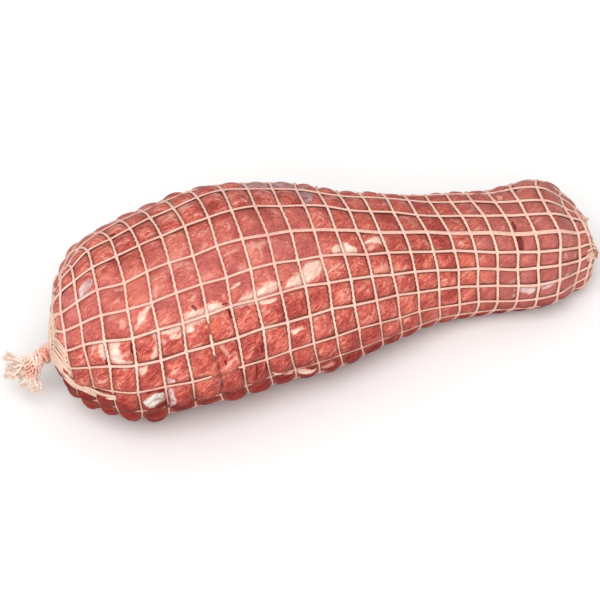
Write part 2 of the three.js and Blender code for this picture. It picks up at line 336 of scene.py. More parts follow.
pillow = pillow_rise(meat_ring, meat_cord)
meat_line = net_line(meat_ring, meat_cord)
flesh = sum(height * noise_at(meat_line, size * MM, seed) for size, height, seed in FLESH_WAVES)
rise = (pillow + flesh * np.minimum(1, pillow / FLESH_FULL_AT)) * MM + lumps(meat_ring, meat_cord)
meat_place = meat_line + way_out(meat_ring, meat_cord) * rise[:, None]
meat_place[:, 2] = np.maximum(meat_place[:, 2], FLOOR_CLEARANCE)
meat.data.vertices.foreach_set("co", meat_place.ravel())


def distance_to_strokes(points, strokes):
    """How many half widths each point is away from the nearest of some strokes on the roast."""
    nearest = np.full(len(points), np.inf)
    for stroke in strokes:
        rings, cords, half_widths = zip(*stroke)
        line = net_line(rings, cords)
        for start in range(len(line) - 1):
            run = line[start + 1] - line[start]
            share = np.clip((points - line[start]) @ run / (run @ run), 0, 1)
            gap = np.linalg.norm(points - line[start] - share[:, None] * run, axis=1)
            half_width = half_widths[start] + (half_widths[start + 1] - half_widths[start]) * share
            nearest = np.minimum(nearest, gap / (half_width * MM))
    return nearest


# Strokes on the meat. Each place is a ring number, a cord number and a half width in millimetres.
FAT = [
    [(4.1, 5.1, 0.8), (4.5, 5.15, 1.4), (4.9, 5.1, 2), (5.2, 5, 3.4), (5.5, 4.95, 3.9), (6, 4.95, 2.8)],
    [(4.5, 5.35, 1.1), (4.75, 5.4, 0.8), (5, 5.3, 1.4), (5.3, 5.3, 1.2)],
    [(6.1, 4.85, 2.8), (6.3, 4.85, 3.1), (6.5, 4.9, 2.2), (6.7, 4.95, 1)],
    [(7, 5.05, 1.1), (7.35, 5, 1.7), (7.6, 4.95, 2.5), (7.9, 4.95, 3.4), (8.1, 4.9, 3.9), (8.45, 4.8, 3.5)],
    [(8.4, 4.8, 3.5), (8.65, 4.75, 2.8), (8.9, 4.7, 1.7)],
    [(8.1, 5.1, 1.7), (8.4, 5.2, 1.4), (8.75, 5.15, 0.8)],
    [(9.2, 4.9, 0.8), (9.4, 4.8, 2), (9.7, 4.75, 3.4), (10, 4.7, 3.9), (10.25, 4.55, 4.4), (10.5, 4.4, 4.4)],
    [(10.5, 4.4, 4.4), (10.8, 4.3, 2.8)],
    [(7.1, 4.4, 0.6), (7.45, 4.35, 0.7)],
    [(11.6, 3.8, 1.7), (12, 3.7, 2.8), (12.2, 3.8, 3.3), (12.45, 3.85, 2.1), (12.55, 3.9, 1)],
    [(13.1, 3.5, 0.6), (13.35, 3.45, 1.4), (13.65, 3.4, 2.2), (13.95, 3.4, 2.2), (13.95, 3.6, 1.1)],
    [(1.85, 5.1, 2.4), (1.95, 5.35, 3.6), (2, 5.65, 2.6)],
    [(2.3, 5.15, 2.8), (2.3, 5.45, 3), (2.4, 5.8, 2.8), (2.6, 5.97, 2.2), (2.8, 5.9, 1.6)],
    [(3.85, 5.05, 0.8), (3.95, 5.3, 1.3), (3.95, 5.5, 1.2), (3.85, 5.7, 1.3), (3.65, 5.9, 1.1)],
    [(3, 6.15, 1.7), (3.2, 6.25, 1.7), (3.4, 6.1, 0.8)],
    [(3.95, 4.05, 0.6), (3.7, 4.2, 1.1), (3.5, 4.35, 2), (3.4, 4.5, 1.4), (3.3, 4.6, 0.6)],
    [(9.05, 6.35, 0.8), (9.2, 6.35, 1.4), (9.4, 6.3, 1.1), (9.6, 6.3, 0.6)],
    [(8.25, 6.05, 0.8), (8.6, 6.05, 0.6)],
    [(8.05, 7.65, 0.9), (8.3, 7.75, 1.3), (8.6, 8, 1.5), (8.85, 8.1, 1.2)],
    [(9.05, 8.15, 1.5), (9.3, 8.25, 2.2), (9.6, 8.35, 1.8), (9.8, 8.3, 0.8)],
    [(5.2, 13.2, 5), (7.5, 13.9, 6), (10.5, 14.3, 5), (13.5, 14.8, 3)],
    [(15, 16.3, 3), (18, 16.9, 5), (21, 16.2, 3)],
    [(2.5, 16.8, 3), (4.5, 17.3, 4.5), (6, 17.2, 2)],
]
PALE = [
    [(5.2, 1.55, 0.8), (5.5, 1.55, 1.2), (5.85, 1.4, 1.5)],
    [(6.1, 1.3, 1.1), (6.4, 1.4, 1.4), (6.65, 1.4, 0.8)],
    [(4.5, 1.85, 0.6), (4.75, 1.8, 1.2), (4.9, 1.8, 0.8)],
    [(1.95, 0.7, 1.1), (1.45, 0.4, 1.5), (1.2, 0.25, 1.4), (0.85, 1.2, 0.8)],
    [(2.6, 0.95, 1.1), (2.2, 0.95, 0.7)],
    [(7.1, 3.35, 0.7), (7.4, 3.35, 1.1), (7.7, 3.3, 1)],
    [(8.05, 3.25, 1.1), (8.45, 3.3, 1.7), (8.85, 3.25, 1.1)],
    [(4.3, 3.6, 1.1), (4.1, 3.75, 1.5), (4.15, 3.9, 0.7)],
    [(2.75, 4.4, 1.7), (2.7, 4.55, 1.7)],
    [(2.65, 3.2, 1.1), (2.9, 3.2, 1)],
    [(20.35, 0.8, 1.1), (20.25, 0.6, 0.8)],
    [(6.28, 6.03, 0.9), (6.4, 6.28, 1.2), (6.52, 6.5, 0.9)],
    [(11.1, 7.45, 0.7), (11.2, 7.5, 0.7)],
    [(13.2, 4.75, 1.4), (13.7, 4.65, 2)],
    [(14.6, 3.9, 0.6), (15, 3.85, 0.8)],
    [(10, 8.4, 1.5), (10.5, 8.25, 2)],
    [(16.5, 12.3, 3), (19, 11.9, 4)],
]
SILVERSKIN = [
    [(1.8, 2.55, 1.6), (1.55, 2.7, 2.3), (1.35, 2.8, 2), (1.2, 2.9, 1)],
    [(4.1, 6.72, 1.3), (4.3, 6.82, 1.3)],
    [(4.15, 7.15, 1.6), (4.2, 7.45, 1.6), (4.1, 7.8, 1.2)],
    [(19.9, 6.25, 1.1), (20.2, 6.2, 2.2), (20.55, 6.2, 2.9), (20.9, 6.2, 2.2)],
    [(21.1, 6.1, 2), (21.4, 6.1, 2.1), (21.75, 6.05, 2.1), (22.2, 6, 1.8), (22.3, 5.8, 1.3)],
    [(19.8, 6.55, 1), (20.05, 6.7, 0.6)],
    [(9, 12.2, 8), (12, 11.6, 8)],
]
MEMBRANE = [
    [(9.1, 0.7, 4), (9.8, 0.6, 4.5), (10.5, 0.7, 5), (11.2, 0.9, 4.5), (11.35, 1.5, 3), (11.2, 1.9, 1.7)],
]
GRISTLE = [
    [(3.25, 7.35, 2), (3.4, 7.35, 3), (3.6, 7.25, 2.6), (3.8, 7.25, 2.2), (3.95, 7.35, 1.4)],
]
# Dark strokes: partly dark cracks in the meat, partly painted shade in holes beside the cords and the
# gristle.
DARK_AND_SHADE = [
    [(3.65, 7.6, 1), (3.85, 7.6, 1.7), (3.95, 7.7, 1.7)],
    [(3.3, 7.05, 0.8), (3.6, 7.03, 0.9), (3.9, 7.08, 1)],
    [(2.93, 5.2, 0.9), (2.95, 5.5, 1)],
    [(20.25, 3.1, 1.6), (20.2, 3.45, 2.4), (20.2, 3.8, 1.8)],
    [(20.2, 2.4, 0.8), (20.2, 2.8, 0.8)],
    [(3.1, 0.8, 1.4), (3.3, 0.85, 0.8)],
    [(5.45, 4.55, 0.6), (5.6, 4.7, 1)],
    [(6.65, 4.85, 0.6), (6.85, 4.85, 0.6)],
    [(6.87, 5.1, 0.8), (6.87, 5.35, 0.8)],
    [(9.05, 4.65, 0.8), (9.1, 4.7, 0.6)],
    [(3.03, 5.2, 0.7), (3.03, 5.5, 0.9), (3.03, 5.9, 0.7)],
    [(1.9, 5.75, 0.8), (2, 6.05, 1)],
    [(6.3, 6.55, 0.7), (6.35, 6.7, 0.8)],
    [(7.5, 7.1, 0.6), (7.35, 7.5, 0.7)],
    [(6.9, 7.1, 0.8), (6.9, 7.4, 0.6)],
    [(9.95, 8, 0.8), (10.4, 8, 0.8)],
    [(7.9, 7.15, 1), (7.9, 7.4, 0.8)],
    [(7.82, 6.5, 0.8), (7.82, 6.7, 0.8)],
    [(6.05, 6.6, 0.7), (6.05, 7.4, 0.8)],
]
WARM = [
    [(3.5, 3.3, 6), (3.6, 3.8, 5)],
    [(13.5, 2.7, 4), (13.6, 2.7, 4)],
    [(6.1, 5.3, 3.5), (6.1, 5.6, 3)],
    [(4.5, 3.4, 3.5), (4.5, 3.6, 3)],
    [(17.5, 4.5, 4), (18.5, 5.5, 4)],
]
LILAC = [
    [(19, 6.4, 6), (19.5, 6.4, 6)],
    [(18.6, 3.5, 5), (18.8, 3.5, 5)],
    [(9.2, 3.4, 3), (9.3, 3.5, 3)],
    [(0.6, 2.5, 4), (0.9, 3.5, 4)],
]


def blot(strokes):
    """How much a place lies in a patch: 1 in its middle, 0.5 at its edge."""
    return np.clip(1 - 0.5 * distance_to_strokes(meat_line, strokes), 0, 1)


def keep(piece, name, values):
    """Stores one number for each vertex."""
    attribute = piece.data.attributes.new(name, "FLOAT", "POINT")
    attribute.data.foreach_set("value", np.asarray(values, np.float32))


keep(meat, "fat", blot(FAT))
keep(meat, "pale", blot(PALE))
keep(meat, "silverskin", blot(SILVERSKIN))
keep(meat, "membrane", blot(MEMBRANE))
keep(meat, "gristle", blot(GRISTLE))
keep(meat, "dark_and_shade", blot(DARK_AND_SHADE))
keep(meat, "hue", blot(WARM) - blot(LILAC))

# Cords are counted from the first, the far ones below 0. The front is paler with painted light, and
# painted shade darkens the top and far side, the grooves beside the net, the underside and the lower
# side of the thin end. The thin end also has its own colour.
GROOVE_SHADE_REACH = 2.2
LIT_FRONT_CORDS = (1.8, 3, 4.2, 5.4)
LIT_FRONT_RINGS = (13, 10)
SHADED_TOP_RINGS = (10.5, 14.5)
THIN_RINGS = (17, 20)
signed_cord = np.where(meat_cord > CORDS / 2, meat_cord - CORDS, meat_cord)
from_top = np.abs(signed_cord)
# Painted light: the front that faces the lamp is paler, and the shade painted in its grooves is weaker.
lit_front = band(meat_cord, *LIT_FRONT_CORDS) * smooth(*LIT_FRONT_RINGS, meat_ring)
keep(meat, "lit_front", lit_front)
closed = closed_over(meat_ring, meat_cord)
# Painted shade, with some gathered juice: the meat darkens in the grooves beside the net.
groove_shade = np.exp(-((gap_to_net(meat_ring, meat_cord) / (GROOVE_SHADE_REACH * (1 - 0.5 * closed))) ** 2))
keep(meat, "groove_shade", groove_shade * (1 - 0.2 * closed) * (1 - 0.5 * lit_front))
# Painted shade: the underside, which faces the table, is made darker.
facing_up = way_out(meat_ring, meat_cord)[:, 2] + 0.3 * smooth(11, 16, meat_ring)
keep(meat, "underside_shade", smooth(0.2, -0.3, facing_up))
# Painted shade: the top and the far side, which turn away from the lamp, are darker.
shaded_top = smooth(*SHADED_TOP_RINGS, meat_ring) * smooth(4.5, 2.5, from_top)
keep(meat, "top_and_far_shade", np.maximum(shaded_top, smooth(1.2, -0.3, signed_cord)))
thin_end = smooth(*THIN_RINGS, meat_ring)
keep(meat, "thin_end", thin_end)
# Painted shade: the lower side of the thin end is darker.
keep(meat, "thin_end_low_shade", thin_end * smooth(3.5, 5.5, from_top))
meat.data.shade_smooth()
meat.data.update()


class Value:
    """A socket of a material. Arithmetic on it adds Math nodes."""

    def __init__(self, finish, socket):
        self.finish = finish
        self.socket = socket

    def __add__(self, other):
        return self.finish.math("ADD", self, other)

    def __sub__(self, other):
        return self.finish.math("SUBTRACT", self, other)

    def __mul__(self, other):
        return self.finish.math("MULTIPLY", self, other)

    __radd__ = __add__


class Finish:
    """A material of one piece, with one way to add a node."""

    def __init__(self, name, **constants):
        self.material = bpy.data.materials.new(name)
        self.material.use_nodes = True
        self.nodes = self.material.node_tree.nodes
        self.links = self.material.node_tree.links
        self.shader = self.nodes["Principled BSDF"]
        for socket, value in constants.items():
            self.shader.inputs[socket.replace("_", " ")].default_value = value

    def give(self, socket, value):
        """Links a Value to a socket, or sets the socket to a number or colour."""
        if isinstance(value, Value):
            self.links.new(value.socket, socket)
        else:
            socket.default_value = value

    def add(self, kind, settings=None, inputs=None, output=0):
        """Adds a node, and gives one of its outputs."""
        node = self.nodes.new(kind)
        for name, value in (settings or {}).items():
            setattr(node, name, value)
        for name, value in (inputs or {}).items():
            self.give(node.inputs[name], value)
        return Value(self, node.outputs[output])

    def ramp(self, value, stops):
        """The colour at a value from 0 to 1, between stops of a position and a colour."""
        colour = self.add("ShaderNodeValToRGB", inputs={"Fac": value})
        elements = colour.socket.node.color_ramp.elements
        while len(elements) < len(stops):
            elements.new(0.5)
        for element, (position, stop_colour) in zip(elements, stops):
            element.position = position
            element.color = stop_colour
        return colour

    def attribute(self, name):
        """The numbers that keep() stored under a name."""
        return self.add("ShaderNodeAttribute", {"attribute_name": name}, output="Fac")

    def step(self, value, edge, full):
        """0 below edge and 1 past full."""
        settings = {"interpolation_type": "SMOOTHSTEP"}
        inputs = {"Value": value, "From Min": edge, "From Max": full}
        return self.add("ShaderNodeMapRange", settings, inputs)

    def mix(self, factor, a, b, blend="MIX"):
        """Colour a, turning to colour b, or multiplied by it."""
        settings = {"data_type": "RGBA", "blend_type": blend}
        return self.add("ShaderNodeMix", settings, {0: factor, 6: a, 7: b}, output=2)

    def layered(self, colour, layers):
        """A colour with others mixed in. A layer has where it lies, its share and its colour."""
        for where, share, layer_colour in layers:
            colour = self.mix(where * share, colour, layer_colour)
        return colour

    def places(self, turn=(0, 0, 0), stretch=(1, 1, 1)):
        """Places on the piece, for a pattern that is turned and then stretched along its own axes."""
        place = self.add("ShaderNodeTexCoord", output="Object")
        inputs = {"Vector": place, "Rotation": turn, "Scale": stretch}
        return self.add("ShaderNodeMapping", {"vector_type": "TEXTURE"}, inputs)

    def math(self, operation, value, other=0.0):
        """Arithmetic on one or two values."""
        return self.add("ShaderNodeMath", {"operation": operation}, {0: value, 1: other})

    def noise(self, place, scale, detail, roughness, distortion=0.0):
        """Soft blotches from 0 to 1, about so many to a metre."""
        inputs = {
            "Vector": place,
            "Scale": scale,
            "Detail": detail,
            "Roughness": roughness,
            "Distortion": distortion,
        }
        return self.add("ShaderNodeTexNoise", {}, inputs)

    def finish(self, colour, roughness, height, depth, strength):
        """Sets the shader's colour, its roughness and a relief that is so many metres deep."""
        self.give(self.shader.inputs["Base Color"], colour)
        self.give(self.shader.inputs["Roughness"], roughness)
        inputs = {"Height": height, "Distance": depth, "Strength": strength}
        self.give(self.shader.inputs["Normal"], self.add("ShaderNodeBump", {}, inputs))


def tint(red, green, blue):
    """A colour as it looks on a screen, given from 0 to 255, as linear light."""
    linear = []
    for level in (red / 255, green / 255, blue / 255):
        linear.append(((level + 0.055) / 1.055) ** 2.4 if level > 0.04 else level / 12.92)
    return (*linear, 1.0)


veal = Finish("raw_veal", Specular_IOR_Level=0.2, Coat_Weight=0.06, Coat_Roughness=0.2)
grain_turn = (0, math.radians(-30), math.radians(6))


def grain(stretch, scale, detail, roughness, distortion=0.0):
    """Noise drawn out along the muscle's fibres."""
    return veal.noise(veal.places(grain_turn, (stretch, 1, 1)), scale, detail, roughness, distortion)


# Patterns from bundles of fibres down to single grains, and torn edges for the patches
fascicles = grain(3.2, 430, 3, 0.6, 0.4)
fibres = grain(4.5, 1100, 2, 0.65, 0.2)
blotches = grain(1.6, 95, 3, 0.55)
clumps = grain(2, 230, 2, 0.5, 0.8)
streaks = grain(5, 330, 2, 0.5, 0.7)
grains = veal.noise(veal.places(), 900, 2, 0.65)
edges = grain(1.8, 420, 4, 0.65, 0.5)


def patch(name, tearing, edge, full):
    """Where a kind of stroke lies, with an edge torn that much."""
    return veal.step(veal.attribute(name) + (edges - 0.5) * tearing, edge, full)


def two_toned(edge, full, dark_colour, light_colour):
    """Two colours, the light one on the bundles of fibres."""
    return veal.mix(veal.step(fascicles, edge, full), dark_colour, light_colour)


tone = 0.53 + (fascicles - 0.5) * 0.5 + (fibres - 0.5) * 0.85 + (grains - 0.5) * 0.4
tone = tone + (blotches - 0.5) * 0.75 + (clumps - 0.5) * 0.45
lean_colour = veal.ramp(tone, [
    (0.12, tint(122, 32, 30)),
    (0.36, tint(162, 60, 52)),
    (0.52, tint(192, 86, 74)),
    (0.68, tint(216, 116, 98)),
    (0.88, tint(236, 166, 144)),
])
hue = veal.attribute("hue")
streak = veal.step(streaks, 0.57, 0.67) * veal.step(blotches, 0.42, 0.56)
cleft = veal.step(veal.math("ABSOLUTE", clumps - 0.5), 0.03, 0.004) * veal.step(blotches, 0.52, 0.4)
lean_colour = veal.layered(lean_colour, [
    (veal.step(hue, 0.1, 1), 0.45, tint(220, 112, 80)),
    (veal.step(hue, -0.1, -1), 0.4, tint(196, 110, 110)),
    (streak, 0.75, tint(238, 178, 162)),
    (cleft, 0.4, tint(116, 30, 28)),
    # Painted light on the front
    (veal.attribute("lit_front"), 0.35, tint(206, 124, 116)),
    (veal.attribute("thin_end"), 0.32, tint(192, 134, 126)),
    # Painted shade on the lower side of the thin end
    (veal.attribute("thin_end_low_shade"), 0.5, tint(154, 70, 66)),
    # Painted shade on the top and far side
    (veal.attribute("top_and_far_shade"), 0.35, tint(140, 62, 52)),
])
# Painted shade on the underside. The same mask also makes the underside rougher.
underside_shade = veal.attribute("underside_shade")
lean_colour = veal.mix(underside_shade, lean_colour, tint(178, 96, 88), "MULTIPLY")
fat = veal.attribute("fat") + (edges - 0.5) * 0.9 + (fibres - 0.5) * 0.3
gristle = patch("gristle", 0.5, 0.42, 0.56)
groove_shade_depth = veal.attribute("groove_shade") + (edges - 0.5) * 0.25
silver_colour = two_toned(0.36, 0.64, tint(186, 146, 148), tint(232, 208, 204))
membrane_colour = two_toned(0.38, 0.66, tint(142, 98, 102), tint(190, 160, 162))
fat_colour = two_toned(0.34, 0.62, tint(230, 182, 164), tint(246, 220, 204))
gristle_colour = two_toned(0.36, 0.6, tint(160, 140, 126), tint(222, 212, 202))
meat_colour = veal.layered(lean_colour, [
    (patch("pale", 1.1, 0.34, 0.76), 0.6, tint(230, 168, 150)),
    (patch("silverskin", 0.9, 0.34, 0.72), 0.85, silver_colour),
    (patch("membrane", 0.8, 0.34, 0.6), 0.8, membrane_colour),
    (veal.step(fat, 0.3, 0.5), 0.7, tint(226, 146, 126)),
    (veal.step(fat, 0.42, 0.7), 0.9, fat_colour),
    (gristle, 1, gristle_colour),
    # Painted shade in the grooves beside the net
    (veal.step(groove_shade_depth, 0.1, 0.75), 0.38, tint(158, 90, 74)),
    (veal.step(groove_shade_depth, 0.55, 0.92), 0.75, tint(106, 60, 44)),
    # Dark cracks and painted shade in holes
    (patch("dark_and_shade", 0.6, 0.34, 0.66), 0.88, tint(108, 2, 6)),
])
relief = fascicles * 0.7 + fibres * 0.7 + grains * 0.5 + clumps * 0.5 + streak * 0.1 - cleft * 0.15
sheen = 0.3 + grains * 0.3 + fat * 0.05 - gristle * 0.15 + underside_shade * 0.3
veal.finish(meat_colour, sheen, relief, 1.1 * MM, 0.9)
meat.data.materials.append(veal.material)
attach(meat, "root")
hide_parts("meat")


# Elastic rings of the net
# Rubber threads covered with cream yarn, laid round the roast and sunk between the pillows.
RING_RADIUS = 0.7
RING_HEIGHT = 1.15
BURIED_DEPTH = 1.8
SUNK_DEPTH = 0.95
RING_SIDES = 8
RING_STEPS = 12

# A ring strays from its line by these shares of a mesh, from crossing to crossing and between.
RING_STRAYING = 0.035
RING_WAVING = 0.014

# It is uneven by two shares of its radius, and thicker by another at each crossing, which
# reaches over so much of a mesh.
RING_UNEVENNESS = (0.08, 0.12)
CROSSING_GAIN = 0.4
CROSSING_REACH = 0.09

# All yarn of the net is thicker at the thin end, and thinner where it is pressed in or covered.
THIN_END_GAIN = 0.15
THICKER_RINGS = (15, 20)
PRESSED_THINNING = 0.3
COVERED_THINNING = 0.6

# The roast's weight presses the net in where its way out turns from the first of these heights
# to the second, and less so from one place to another along the roast, in metres.
PRESSED_FACING = (0.4, -0.15)
PRESSED_LESS = 0.8
PRESSED_LESS_ALONG = (0.03, 0.08)


def pressed_in(place, out):
    """1 where the roast's weight presses the net into the meat: it faces the table."""
    less = PRESSED_LESS * smooth(*PRESSED_LESS_ALONG, place[..., 0])
    return smooth(*PRESSED_FACING, out[..., 2]) * (1 - less)


def thinned(ring, cord, place, out):
    """How thick the net's yarn is where it is pressed in or covered, as a share."""
    covered = 1 - COVERED_THINNING * closed_over(ring, cord)
    return covered * (1 - PRESSED_THINNING * pressed_in(place, out))


def thickened(ring):
    """How thick the net's yarn is towards the thin end, as a share."""
    return 1 + THIN_END_GAIN * smooth(*THICKER_RINGS, ring)


def lengths_along(points):
    """How far along a line each of its points is."""
    return np.concatenate([[0], np.cumsum(np.linalg.norm(np.diff(points, axis=0), axis=1))])


def tubes(name, routes, sides):
    """One mesh of closed tubes. A route has points, ways out, radii and whether it is a ring."""
    places = []
    faces = []
    run = []
    under = []
    count = 0
    turn = np.arange(sides) * 2 * math.pi / sides
    for points, out, radii, is_ring in routes:
        before = np.roll(points, 1, axis=0)
        after = np.roll(points, -1, axis=0)
        if not is_ring:
            before[0] = points[0]
            after[-1] = points[-1]
        forward = unit(after - before)
        side = unit(np.cross(forward, out))
        lift = np.cross(side, forward)
        spokes = np.cos(turn)[:, None] * lift[:, None, :] + np.sin(turn)[:, None] * side[:, None, :]
        places.append((points[:, None, :] + spokes * radii[:, None, None]).reshape(-1, 3))
        run.append(np.repeat(lengths_along(points), sides))
        under.append(np.repeat(pressed_in(points, out), sides))
        total = len(points) * sides
        first = np.arange(0, total if is_ring else total - sides, sides)[:, None]
        here = first + np.arange(sides)
        beside = first + (np.arange(sides) + 1) % sides
        corners = np.stack([here, beside, (beside + sides) % total, (here + sides) % total], -1)
        faces.extend((corners.reshape(-1, 4) + count).tolist())
        if not is_ring:
            faces.append([count + corner for corner in reversed(range(sides))])
            faces.append([count + corner for corner in range(total - sides, total)])
        count += total
    places = np.concatenate(places)
    places[:, 2] = np.maximum(places[:, 2], FLOOR_CLEARANCE)
    data = bpy.data.meshes.new(name)
    data.from_pydata(places.tolist(), [], faces)
    data.update()
    piece = bpy.data.objects.new(name, data)
    bpy.context.collection.objects.link(piece)
    keep(piece, "run", np.concatenate(run))
    keep(piece, "under", np.concatenate(under))
    data.shade_smooth()
    return piece


def net_place(ring, cord, height=0.0, sinking=1.0):
    """A place in the net, that far above where its cords lie. The meat closes over it in places."""
    line = net_line(ring, cord)
    out = way_out(ring, cord)
    sunk = BURIED_DEPTH * closed_over(ring, cord) + sinking * SUNK_DEPTH * pressed_in(line, out)
    lift = lumps(ring, cord) + (RING_HEIGHT - sunk) * MM + height
    return line + out * lift[..., None]


# Sines of numbers that don't repeat make each ring and crossing a little different.
ring_routes = []
for number in range(FIRST_RING, LAST_RING + 1):
    cord = np.arange(CORDS * RING_STEPS) / RING_STEPS
    crossings = np.arange(CORDS + 1)
    straying = RING_STRAYING * np.sin(crossings % CORDS * 3.7 + number * 5.3)
    ring = number + np.interp(cord, crossings, straying)
    ring = ring + RING_WAVING * np.sin(cord * 29 + number * 4.1)
    at_crossing = np.exp(-((((cord + 0.5) % 1 - 0.5) / CROSSING_REACH) ** 2))
    out = way_out(ring, cord)
    points = net_place(ring, cord)
    slow, quick = RING_UNEVENNESS
    uneven = slow * np.sin(cord * 9 + number) + quick * np.sin(cord * 31 + number * 2.3)
    radii = RING_RADIUS * MM * (1 + uneven + CROSSING_GAIN * at_crossing)
    radii = radii * thinned(ring, cord, points, out) * thickened(number)
    ring_routes.append((points, out, radii, True))
net_rings = tubes("net_rings", ring_routes, RING_SIDES)

# The yarn is wound round the cords once in so many millimetres.
WRAP_PERIOD = 1.2
yarn = Finish("net_cord", Specular_IOR_Level=0.2)
yarn_places = yarn.places()
stain = yarn.noise(yarn_places, 45, 3, 0.6)
fluff = yarn.noise(yarn_places, 1500, 2, 0.6)
wrap = yarn.math("SINE", yarn.attribute("run") * (2 * math.pi / (WRAP_PERIOD * MM)))
yarn_colour = yarn.mix(yarn.step(fluff, 0.32, 0.6), tint(220, 172, 155), tint(243, 204, 189))
yarn_colour = yarn.layered(yarn_colour, [
    (yarn.step(stain, 0.45, 0.68), 0.6, tint(230, 168, 154)),
    (yarn.step(stain, 0.42, 0.3), 0.4, tint(214, 176, 140)),
    (yarn.attribute("under"), 0.5, tint(226, 154, 136)),
    (yarn.attribute("bunched"), 0.7, tint(222, 200, 180)),
])
yarn.finish(yarn_colour, 0.8, wrap * 0.5 + fluff * 1.5, 0.12 * MM, 0.6)
net_rings.data.materials.append(yarn.material)
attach(net_rings, "root")
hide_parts("net")


# Lengthwise cords of the net
# Each is a chain of three thin yarns knitted together, a little fluffy, that holds the rings.
CHAIN_YARNS = 3
CHAIN_YARN_RADIUS = 0.37
CHAIN_YARN_SIDES = 5
CHAIN_HALF_WIDTH = 0.42
CHAIN_HALF_HEIGHT = 0.18
CHAIN_PERIOD = 3.4
CHAIN_STEPS = 8
CHAIN_LIFT = 0.15
CHAIN_STRAYING = 0.03
GUIDE_STEPS = 1400
CORDS_A_PIECE = 5

# Where the cords are less than this apart, in millimetres, they get narrower, down to a share.
CHAIN_ROOM = 3.4
NARROWEST = 0.4

# One cord is looser than the others, between these rings.
LOOSE_CORD = 3
LOOSE_GAIN = 0.9
LOOSE_RINGS = (7, 9, 22, 24)


def chain(cord):
    """The yarns of one lengthwise cord."""
    guide = np.linspace(TIED_COLLAR, THIN_COLLAR, GUIDE_STEPS)
    run = lengths_along(net_line(guide, cord))
    periods = round(run[-1] / (CHAIN_PERIOD * MM))
    at = np.linspace(0, run[-1], periods * CHAIN_STEPS + 1)
    ring = np.interp(at, run, guide)
    crossings = np.arange(FIRST_RING, LAST_RING + 1)
    straying = np.interp(ring, crossings, CHAIN_STRAYING * np.sin(crossings * 4.1 + cord * 2.7))
    middle = net_place(ring, cord + straying, CHAIN_LIFT * MM)
    out = way_out(ring, cord)
    side = np.cross(unit(np.gradient(middle, axis=0)), out)
    room, _ = mesh_size(ring, cord)
    size = np.clip(room / CHAIN_ROOM, NARROWEST, 1) * MM
    size = size * thinned(ring, cord, middle, out) * thickened(ring)
    loose = 1 + LOOSE_GAIN * (cord == LOOSE_CORD) * band(ring, *LOOSE_RINGS)
    routes = []
    for number in range(CHAIN_YARNS):
        phase = (at / (CHAIN_PERIOD * MM) + number / CHAIN_YARNS) * 2 * math.pi
        shift = CHAIN_HALF_WIDTH * loose * np.sin(phase)
        height = CHAIN_HALF_HEIGHT * np.sin(2 * phase)
        points = middle + side * (shift * size)[:, None] + out * (height * size)[:, None]
        routes.append((points, out, CHAIN_YARN_RADIUS * size, False))
    return routes


for first in range(0, CORDS, CORDS_A_PIECE):
    routes = [route for cord in range(first, first + CORDS_A_PIECE) for route in chain(cord)]
    cords_piece = tubes(f"net_cords_{first // CORDS_A_PIECE + 1}", routes, CHAIN_YARN_SIDES)
    cords_piece.data.materials.append(yarn.material)
    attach(cords_piece, "root")
    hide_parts("net")


# Bunched cords at the tied end
# Spare net from the knot lies along one lengthwise cord in a flat strip of yarns, and more
# spare yarns spread from the knot over the first two rings.
STRIP_YARNS = 10
STRIP_YARN_RADIUS = 0.36
STRIP_HALF_WIDTH = 2.4
STRIP_LIFT = 0.9
STRIP_UNEVENNESS = 0.35
STRIP_END_WIDTH = 0.4
STRIP_TAPER = (1.05, 0.8)
BUNCHED_SIDES = 6

# The rings and cords that the strip passes
STRIP = [
    (-1.5, 6.2),
    (-0.9, 6.35),
    (-0.4, 6.5),
    (-0.1, 6.75),
    (0.35, 6.9),
    (0.8, 7.1),
    (1.4, 7.2),
    (2.15, 7.2),
]

# Spare yarns spread over so many cords from the first. Up to the wedge they run together at the
# crossings, and from there on they run along the wedge towards the strip.
SPARE_YARNS = 80
SPARE_FROM = 1.2
SPARE_SPAN = 5.6
SPARE_RADII = (0.26, 0.42)
WEDGE_FROM = 4.2
WEDGE_TO = 7

# A few yarns lie across them, next to the knot.
CROSS_YARNS = 10
CROSS_FROM = -1.75
CROSS_STEP = 0.09
CROSS_CORDS = (-1, 0.6, 2.2, 3.8, 5.4)
CROSS_HEIGHTS = (0.3, 1.4)
CROSS_RADII = (0.3, 0.42)


def curve(points, steps):
    """A smooth line through some points, with that many steps between each two."""
    points = np.asarray(points, float)
    spread = np.concatenate([[2 * points[0] - points[1]], points, [2 * points[-1] - points[-2]]])
    at = np.linspace(0, len(points) - 1, (len(points) - 1) * steps + 1)
    first = np.minimum(at.astype(int), len(points) - 2)
    share = (at - first)[:, None]
    before, start, end, after = (spread[first + step] for step in range(4))
    bend = 2 * before - 5 * start + 4 * end - after
    twist = 3 * start - before - 3 * end + after
    return 0.5 * (2 * start + (end - before) * share + bend * share**2 + twist * share**3)


def lying_yarn(guide, height, radius):
    """A route along the net's lines, with its height above them and radius in millimetres."""
    ring, cord = guide.T
    points = net_place(ring, cord, height * MM, 0)
    return points, way_out(ring, cord), np.full(len(guide), radius * MM), False


